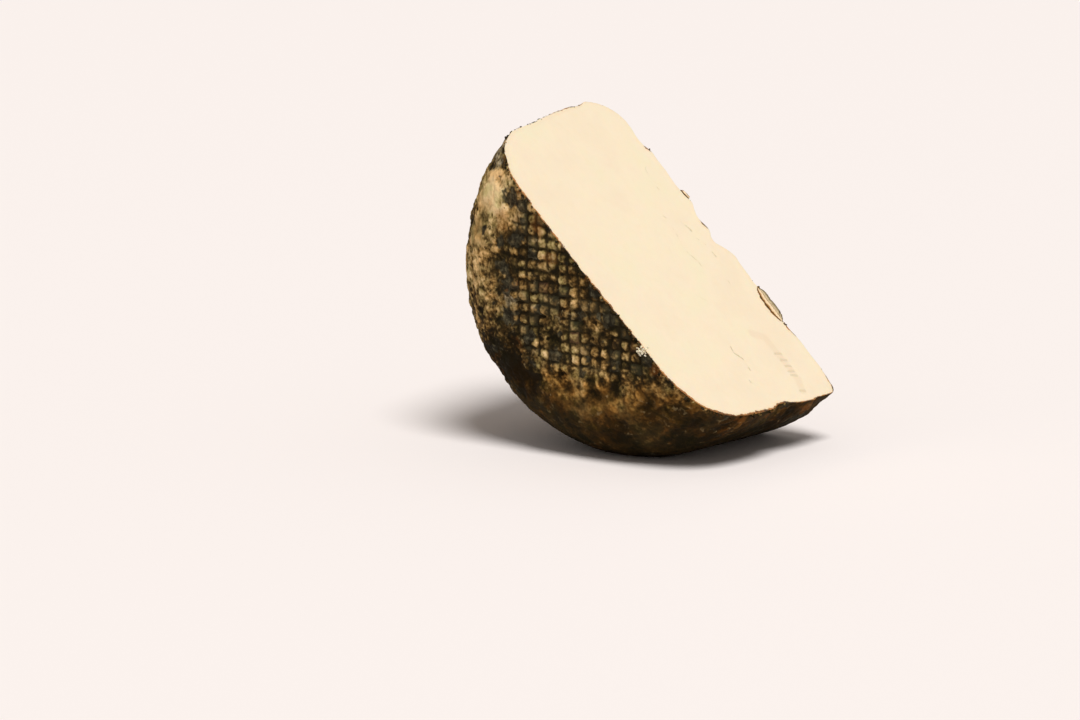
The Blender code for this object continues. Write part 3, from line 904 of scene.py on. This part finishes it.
def lifted_strip(number, flake):
    """A strip of rind that stands off its recess: a shell that is thickest at the cut."""
    middle, length, _, rise, depth = (value * MM for value in flake[:5])
    columns, rows, layers = round(flake[1] / FLAKE_STEP), FLAKE_ROWS, FLAKE_LAYERS
    outer, inner, felt = [], [], []
    for column in range(columns + 1):
        for row in range(rows + 1):
            point = plain_side_point(middle + length * (column / columns - 0.5), -depth * row / rows)
            share = flake_share(point, flake)
            height, values = rind_at(point)
            opened = smoothstep(0.0, 0.25, share)
            torn = 0.92 + 0.30 * noise.noise(point / FLAKE_TORN[0])
            torn += 0.15 * noise.noise(point / FLAKE_TORN[1])
            tuck = FLAKE_TUCK * (1.0 - opened)
            raised = rise * smoothstep(0.0, 0.5, share) * torn
            outer.append(point + Vector((0.0, height + raised - 0.5 * tuck, 0.0)))
            inner.append(point + Vector((0.0, height - recess(point) + FLAKE_GAP * opened - tuck, 0.0)))
            felt.append((*values[:-1], 0.0))
    stride = rows + 1
    section = []
    for column in range(columns + 1):
        for layer in range(layers + 1):
            point = inner[column * stride].lerp(outer[column * stride], layer / layers)
            point.z -= FLAKE_SECTION[1] * (0.5 + noise.noise(point / FLAKE_SECTION[0]))
            section.append(point)
    points = outer + inner + section
    across = [1.0] * len(outer) + [0.0] * len(inner)
    across += [flake[5] * layer / layers for _ in range(columns + 1) for layer in range(layers + 1)]
    faces, slots = [], []

    def sheet(first, width, height, slot, flip):
        """Faces of a grid of points that starts with the first one."""
        for column in range(width):
            for row in range(height):
                corner = first + column * (height + 1) + row
                ring = (corner, corner + height + 1, corner + height + 2, corner + 1)
                faces.append(ring[::-1] if flip else ring)
                slots.append(slot)

    sheet(0, columns, rows, 0, True)
    sheet(len(outer), columns, rows, 1, False)
    sheet(len(outer) + len(inner), columns, layers, 1, False)
    channels = {"across": across}
    for key, values in zip(CHANNELS, np.array(felt).T):
        channels[key] = list(values) + [0.0] * (len(points) - len(values))
    add_piece(f"lifted_strip_{number}", points, faces, [RIND, TORN], channels, face_slots=slots)


def lump_shape():
    """Vertices and faces of a small round solid."""
    ball = bmesh.new()
    bmesh.ops.create_icosphere(ball, subdivisions=2, radius=1.0)
    corners = [vert.co.copy() for vert in ball.verts]
    rings = [[vert.index for vert in face.verts] for face in ball.faces]
    ball.free()
    return corners, rings


def add_lumps(name, lumps, made, values_of):
    """Irregular little lumps as one piece: each is (centre, radius). values_of draws the channels
    of a lump."""
    corners, rings = lump_shape()
    points, faces, channels = [], [], {}
    for centre, radius in lumps:
        turned = Euler([random.uniform(0.0, 2.0 * math.pi) for _ in range(3)]).to_matrix()
        squash = Vector((random.uniform(0.8, 1.5), random.uniform(0.6, 1.0), random.uniform(0.5, 0.9)))
        seed = Vector([random.uniform(0.0, 50.0) for _ in range(3)])
        first = len(points)
        for corner in corners:
            swell = 1.0 + 0.55 * noise.noise(corner * 1.3 + seed)
            swell += 0.25 * noise.noise(corner * 3.0 + seed)
            points.append(centre + turned @ (corner * squash) * (radius * swell))
        faces += [[first + index for index in ring] for ring in rings]
        for key, value in values_of().items():
            channels.setdefault(key, []).extend([value] * len(corners))
    add_piece(name, points, faces, [made], channels)


def rind_bit():
    """Colours of one bit of rind: dark, brown or tan."""
    values = dict.fromkeys(CHANNELS, 0.0)
    values["light"] = random.choice((0.10, 0.20, 0.28, 0.36, 0.48))
    values["mould"] = random.choice((0.0, 0.0, 0.3, 0.8))
    values["rust"] = random.choice((0.0, 0.0, 1.0))
    return values


def frayed(line, count, small, large):
    """Bits of rind along a line of the cut's outline, in groups. Only on the printed side do they
    come to the front of the cut."""
    lumps = []
    while len(lumps) < count:
        place = Vector(line[random.randrange(len(line))])
        if noise.noise(place / TUFT) + random.uniform(-0.35, 0.35) < 0.0:
            continue
        radius = random.uniform(small, large) * MM
        outward = Vector((place.x, place.y + 0.5 * THICKNESS, 0.0)).normalized()
        place += outward * random.uniform(-0.3, 0.5) * radius
        front = mix((-0.5, 0.3), smoothstep(0.80, 0.97, -outward.y))
        place.z = radius * random.uniform(-2.4, front)
        lumps.append((place, radius))
    return lumps


def gathered(place, spread, count, small, large):
    """Lumps in a loose group round a place."""
    lumps = []
    for _ in range(count):
        radius = random.uniform(small, large) * MM
        away = Vector([random.gauss(0.0, 0.5 * spread * MM) for _ in range(3)])
        lumps.append((Vector(place) * MM + away, radius))
    return lumps


def loose_bits(rind):
    """Frayed rind and crumbs of paste, along the cut and on the rind."""
    random.seed(7)
    plain, printed = rind.outline()[:2]
    bits = frayed(printed, *FRAY_PRINTED) + frayed(plain, *FRAY_PLAIN)
    for x, y, spread, count, small, large in BURRS:
        for centre, radius in gathered((x, y, -0.5), spread, count, small, large):
            centre.z = min(centre.z, -0.5 * radius)
            bits.append((centre, radius))
    add_lumps("frayed_rind", bits, RIND, rind_bit)
    crumbs = []
    for x, y, z, spread, count, small, large in CRUMBS:
        for centre, radius in gathered((x, y, z), spread, count, small, large):
            centre.y = y * MM + 0.4 * (centre.y - y * MM)
            crumbs.append((centre, radius))
    add_lumps("crumbs", crumbs, PASTE, lambda: {"edge": 9.0, "crust": 0.0, "rust": 0.0})


def make_scene():
    rind = Rind()
    last = len(rind.rows) - 1
    rind.piece("rind_plain_side", 0, SIDE_RINGS)
    rind.piece("rind_rim", SIDE_RINGS, last - SIDE_RINGS)
    rind.piece("rind_printed_side", last - SIDE_RINGS, last)
    cut_face(rind)
    for number, flake in enumerate(FLAKES, 1):
        lifted_strip(number, flake)
    loose_bits(rind)


# ---- stage, light and camera --------------------------------------------------------------
CAMERA_AZIMUTH = math.radians(34.7)
CAMERA_HEIGHT = math.radians(11.09)
CAMERA_DISTANCE = 1.42857
CAMERA_AIM = WHEEL_CENTRE + Vector((-38.76, -34.68, -32.89)) * MM
SENSOR = 36.0  # mm
LENS = 5000.0 / 1080.0 * SENSOR  # the photograph's focal length is 5000 of its pixels
AMBIENT = 0.30
FLOOR_HALF, FLOOR_LEVEL = 3.0, -0.2 * MM
FLOOR_COLOUR = (0.935, 0.870, 0.840)
SKY_SEEN = (0.960, 0.885, 0.850)  # as the backdrop
SKY_LIGHT = (0.95, 0.90, 0.86)  # as it lights the cheese
KEY_FROM = (55.0, 62.0)  # azimuth and height, in degrees
KEY_POWER = 2.75
KEY_SPREAD = 25.0


def direction(azimuth, height):
    """Unit vector from the object to what lies at an azimuth, as the camera's, and a height."""
    return Vector((
        math.sin(azimuth) * math.cos(height), -math.cos(azimuth) * math.cos(height), math.sin(height)))


def look(thing, place, target):
    """Puts a camera or light at a place and turns it to a target."""
    thing.location = place
    thing.rotation_euler = (Vector(target) - Vector(place)).to_track_quat("-Z", "Y").to_euler()


def lamp(name, source, power, spread):
    """A soft distant light, from an azimuth and a height in degrees."""
    data = bpy.data.lights.new(name, "SUN")
    data.energy = power
    data.angle = math.radians(spread)
    look(placed(name, data), direction(*(math.radians(angle) for angle in source)), Vector())


def stage():
    """Plain pale floor, soft light and the camera."""
    scene = bpy.context.scene
    scene.view_settings.view_transform = "Standard"
    mesh = bpy.data.meshes.new("floor")
    half, level = FLOOR_HALF, FLOOR_LEVEL
    corners = [(-half, -half, level), (half, -half, level), (half, half, level), (-half, half, level)]
    mesh.from_pydata(corners, [], [(0, 1, 2, 3)])
    floor = placed("floor", mesh)
    pale = Nodes("floor")
    pale.fill(pale.shader, {"Base Color": FLOOR_COLOUR, "Roughness": 0.9})
    mesh.materials.append(pale.material)

    world = bpy.data.worlds.new("studio")
    scene.world = world
    world.use_nodes = True
    tree = world.node_tree
    seen = tree.nodes["Background"]
    seen.inputs["Color"].default_value = (*SKY_SEEN, 1.0)
    dim = tree.nodes.new("ShaderNodeBackground")
    dim.inputs["Color"].default_value = (*SKY_LIGHT, 1.0)
    dim.inputs["Strength"].default_value = AMBIENT
    either = tree.nodes.new("ShaderNodeMixShader")
    tree.links.new(tree.nodes.new("ShaderNodeLightPath").outputs["Is Camera Ray"], either.inputs[0])
    tree.links.new(dim.outputs[0], either.inputs[1])
    tree.links.new(seen.outputs[0], either.inputs[2])
    tree.links.new(either.outputs[0], tree.nodes["World Output"].inputs[0])
    lamp("key", KEY_FROM, KEY_POWER, KEY_SPREAD)

    data = bpy.data.cameras.new("camera")
    data.sensor_width = SENSOR
    data.lens = LENS
    camera = placed("camera", data)
    look(camera, CAMERA_AIM + direction(CAMERA_AZIMUTH, CAMERA_HEIGHT) * CAMERA_DISTANCE, CAMERA_AIM)
    scene.camera = camera


make_scene()
stage()
